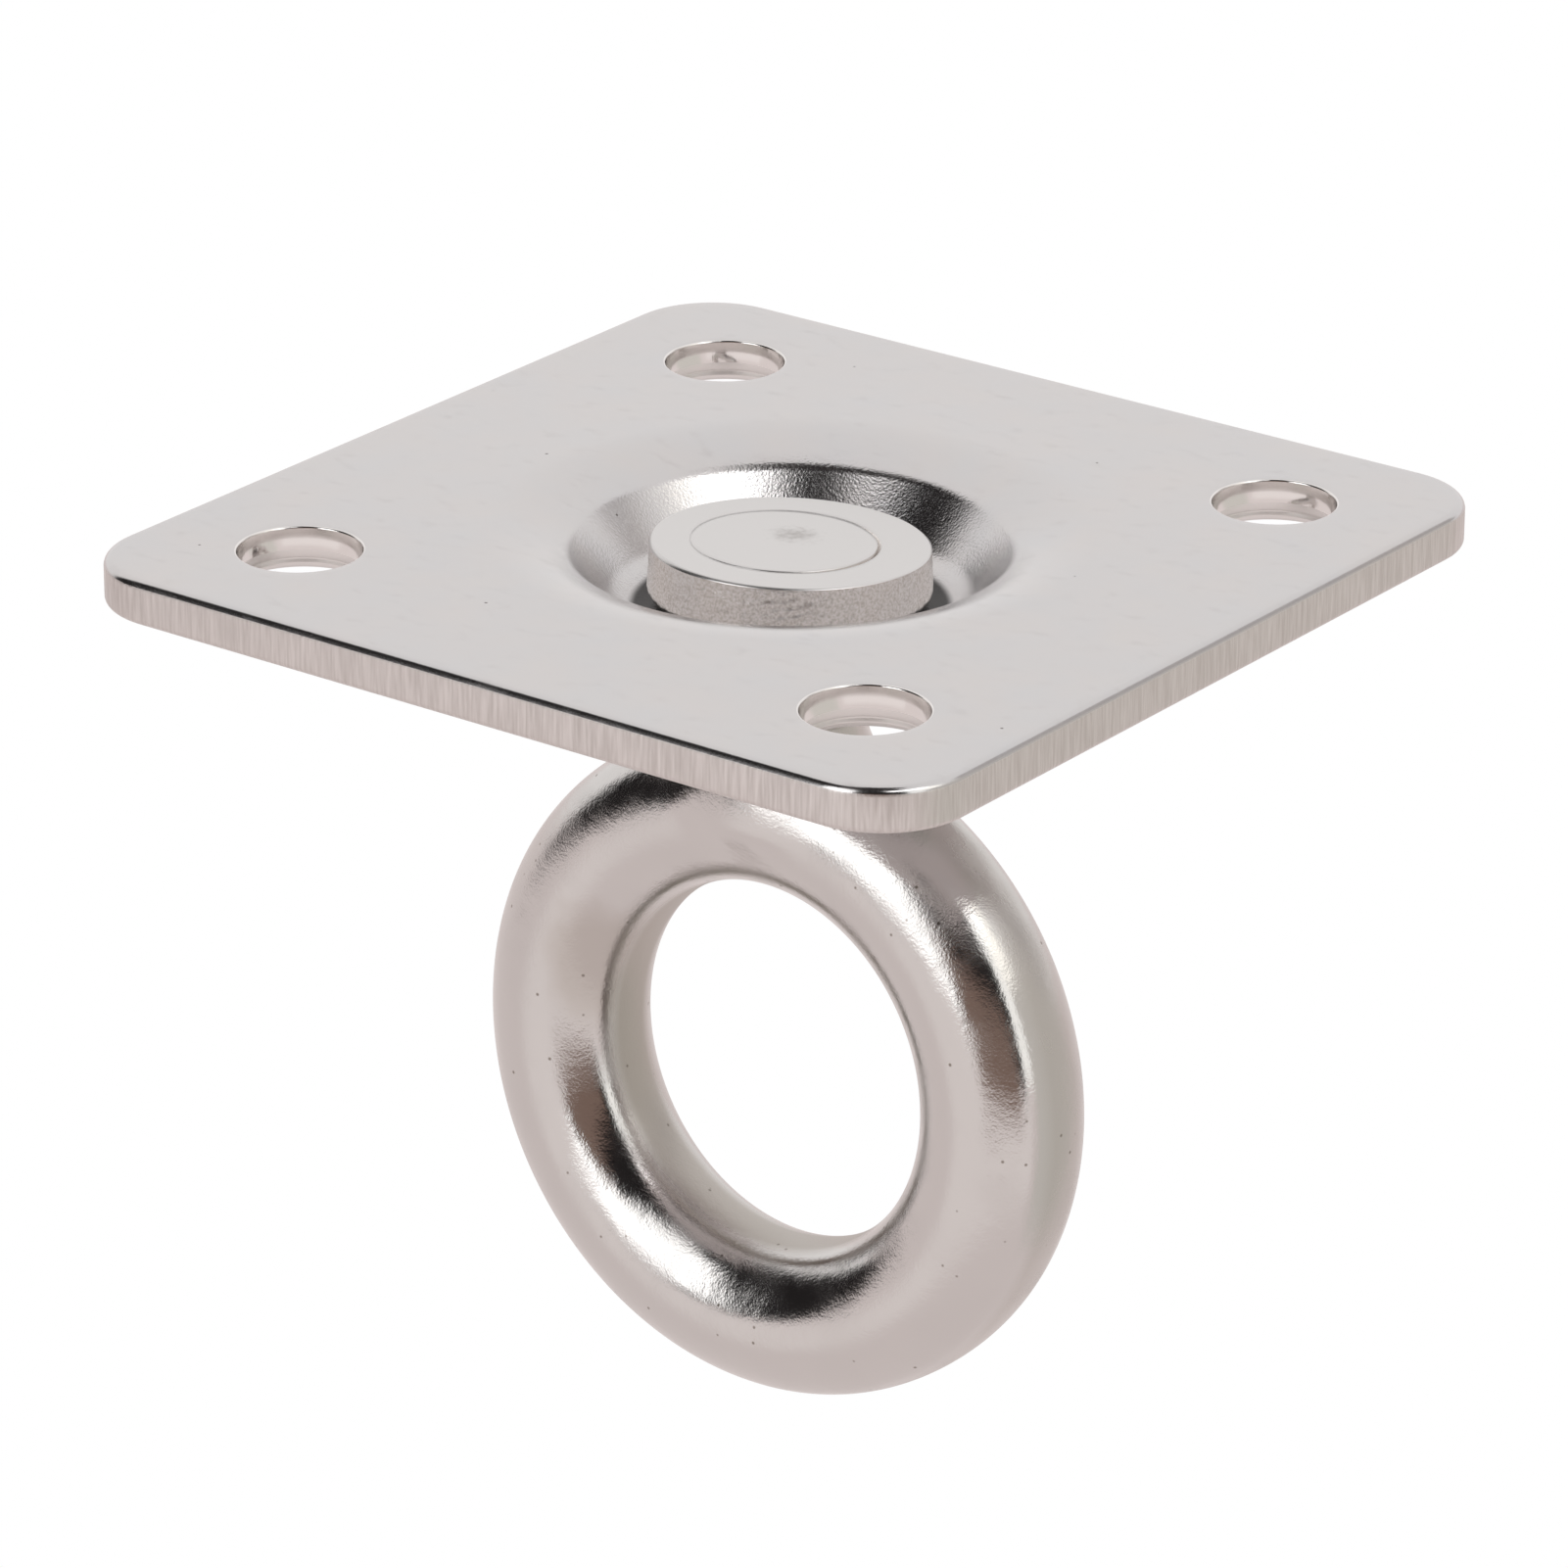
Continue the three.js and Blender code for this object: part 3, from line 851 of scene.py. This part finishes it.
# %% [markdown]
# ## Forged and drum-polished eye
# The eye was forged in two half dies, trimmed, and polished in a drum of stones. The stones
# round off the scale but never reach a true mirror: an orange peel about half a millimetre across
# stays, with pits where scale was pressed in. The stones hardly reach the flash that was trimmed
# inside the ring, so it stays duller and a little olive. Outside it shows about half as much.

# %% Forged eye finish
ORANGE_PEEL = 0.5         # mm across one dimple
PEEL_HEIGHT = 12e-6       # m
FORGED_GRAIN = 0.12       # mm; the stones' own scratches are finer, and this is what shows
SCRATCH_HEIGHT = 16e-6    # m
POLISH_PATCH = 3.2        # mm across a patch that is polished better or worse than the next
SCALE_PIT_SPACING = 0.75  # mm
SHADE_PATCH_CENTRE = (-8.3, -3.2, -24.5)  # mm; the middle of a patch of painted shade on the ring's inside


def forged_finish():
    material, tree, shader, place = start_finish("drum_polished_forged_stainless", "#cfccca", 0.15)
    trimmed = add(tree, "ShaderNodeAttribute", attribute_name="trimmed").outputs["Fac"]
    peel = add(tree, "ShaderNodeTexNoise", {"Vector": place, "Scale": 1 / ORANGE_PEEL, "Detail": 2.0})
    grain = add(tree, "ShaderNodeTexNoise", {"Vector": place, "Scale": 1 / FORGED_GRAIN, "Detail": 4.0})
    patches = add(tree, "ShaderNodeTexNoise", {"Vector": place, "Scale": 1 / POLISH_PATCH, "Detail": 4.0})
    coarse = add(tree, "ShaderNodeBump", {"Height": peel.outputs[0], "Distance": PEEL_HEIGHT})
    strength = ramp(tree, patches.outputs[0], 0.35, 0.65, 0.5, 1.0)
    fine = {"Height": grain.outputs[0], "Strength": strength, "Distance": SCRATCH_HEIGHT,
            "Normal": coarse.outputs[0]}
    tree.links.new(add(tree, "ShaderNodeBump", fine).outputs[0], shader.inputs["Normal"])

    polished = ramp(tree, patches.outputs[0], 0.4, 0.65, 0.13, 0.22)
    dull = add(tree, "ShaderNodeMapRange", {"Value": trimmed, "To Min": polished, "To Max": 0.38})
    tree.links.new(dull.outputs[0], shader.inputs["Roughness"])

    scale_pits = {"Vector": place, "Scale": 1 / SCALE_PIT_SPACING, "Randomness": 1.0}
    pits = add(tree, "ShaderNodeTexVoronoi", scale_pits)
    pit = ramp(tree, pits.outputs["Distance"], 0.06, 0.16, 1.0, 0.0)
    chance = add(tree, "ShaderNodeSeparateColor", {0: pits.outputs["Color"]}).outputs[0]
    share = add(tree, "ShaderNodeMapRange", {"Value": trimmed, "To Min": 0.84, "To Max": 0.6}).outputs[0]
    chosen = add(tree, "ShaderNodeMath", {0: chance, 1: share}, operation="GREATER_THAN").outputs[0]
    spot = add(tree, "ShaderNodeMath", {0: pit, 1: chosen}, operation="MULTIPLY").outputs[0]
    # Painted shade: a darker patch on the inside of the ring, round the point given above.
    centre = {0: place, 1: SHADE_PATCH_CENTRE}
    away = add(tree, "ShaderNodeVectorMath", centre, operation="DISTANCE").outputs["Value"]
    reach = {0: patches.outputs[0], 1: 4.0, 2: away}
    ragged = add(tree, "ShaderNodeMath", reach, operation="MULTIPLY_ADD").outputs[0]
    shade_patch = ramp(tree, ragged, 4.0, 7.0, 0.75, 0.0)
    # From here the mask named trimmed carries both the trimmed flash and the painted shade, for the colour
    # only.
    trimmed = add(tree, "ShaderNodeMath", {0: shade_patch, 1: trimmed}, operation="MAXIMUM").outputs[0]
    zone = {"Factor": trimmed, "A": linear("#cfccca"), "B": linear("#bab4ae")}
    tone = add(tree, "ShaderNodeMix", zone, data_type="RGBA").outputs["Result"]
    pitted = {"Factor": spot, "A": tone, "B": linear("#8d867f")}
    final = add(tree, "ShaderNodeMix", pitted, data_type="RGBA").outputs["Result"]
    tree.links.new(final, shader.inputs["Base Color"])
    return material


# %% [markdown]
# ## Investment-cast side and ground face
# The collar's side is as the ceramic mould left it, pebbled and warm grey. Its top was ground
# flush with the shank on a fine belt, and is the flattest and palest face of all, with hair-fine
# belt lines and a small scuff where the end of the shank was marked for the punch.

# %% Cast side finish
MOULD_GRAIN = 0.13         # mm
MOULD_GRAIN_HEIGHT = 9e-6  # m


def cast_finish():
    material, tree, shader, place = start_finish("as_cast_stainless_side", "#e0d9d4", 0.27)
    grain = add(tree, "ShaderNodeTexNoise", {"Vector": place, "Scale": 1 / MOULD_GRAIN, "Detail": 3.0})
    bump = add(tree, "ShaderNodeBump", {"Height": grain.outputs[0], "Distance": MOULD_GRAIN_HEIGHT})
    tree.links.new(bump.outputs[0], shader.inputs["Normal"])
    tint = {"Factor": ramp(tree, grain.outputs[0], 0.3, 0.65), "A": linear("#d2cac4"),
            "B": linear("#ece7e4")}
    tree.links.new(add(tree, "ShaderNodeMix", tint, data_type="RGBA").outputs["Result"],
                   shader.inputs["Base Color"])
    return material


# %% Ground face finish
SCUFF = (-0.5, 1.0)      # mm from the middle of the plate
BELT_LINE = 0.12         # mm between the belt's lines
BELT_LINE_HEIGHT = 3e-6  # m
SMEAR = 0.35             # mm across one smear of the scuff


def ground_finish():
    material, tree, shader, place = start_finish("belt_ground_stainless_face", "#d6d4d3", 0.3)
    belt = {"Vector": place, "Rotation": (0, 0, -0.7), "Scale": (0.06, 1, 1)}
    along = add(tree, "ShaderNodeMapping", belt).outputs[0]
    lines = add(tree, "ShaderNodeTexNoise", {"Vector": along, "Scale": 1 / BELT_LINE, "Detail": 3.0})
    bump = add(tree, "ShaderNodeBump", {"Height": lines.outputs[0], "Distance": BELT_LINE_HEIGHT})
    tree.links.new(bump.outputs[0], shader.inputs["Normal"])
    centre = {0: place, 1: (*SCUFF, HEAD_TOP / MM)}
    away = add(tree, "ShaderNodeVectorMath", centre, operation="DISTANCE").outputs["Value"]
    smear = add(tree, "ShaderNodeTexNoise", {"Vector": place, "Scale": 1 / SMEAR, "Detail": 5.0})
    ragged = add(tree, "ShaderNodeMath", {0: smear.outputs[0], 1: 2.2, 2: away}, operation="MULTIPLY_ADD")
    scuff = ramp(tree, ragged.outputs[0], 0.9, 2.6, 0.6, 0.0)
    marked = {"Factor": scuff, "A": linear("#d3d1d0"), "B": linear("#8f8986")}
    tree.links.new(add(tree, "ShaderNodeMix", marked, data_type="RGBA").outputs["Result"],
                   shader.inputs["Base Color"])
    return material


# %% Give each piece its finishes
ground, cast, forged = ground_finish(), cast_finish(), forged_finish()
for material in (sheet_finish(), sheared_finish(), punched_finish()):
    plate.data.materials.append(material)
for piece, finishes in ((collar, (ground, cast)), (shank, (ground, forged)), (eye, (forged,))):
    for material in finishes:
        piece.data.materials.append(material)
print(len(bpy.data.materials), "materials")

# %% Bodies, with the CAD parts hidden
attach(plate, "plate")
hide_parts("base_plate")
for piece in (collar, shank, eye):
    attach(piece, "eye")
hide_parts("retaining_collar")
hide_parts("swivel_eye")
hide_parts("swivel_eye")
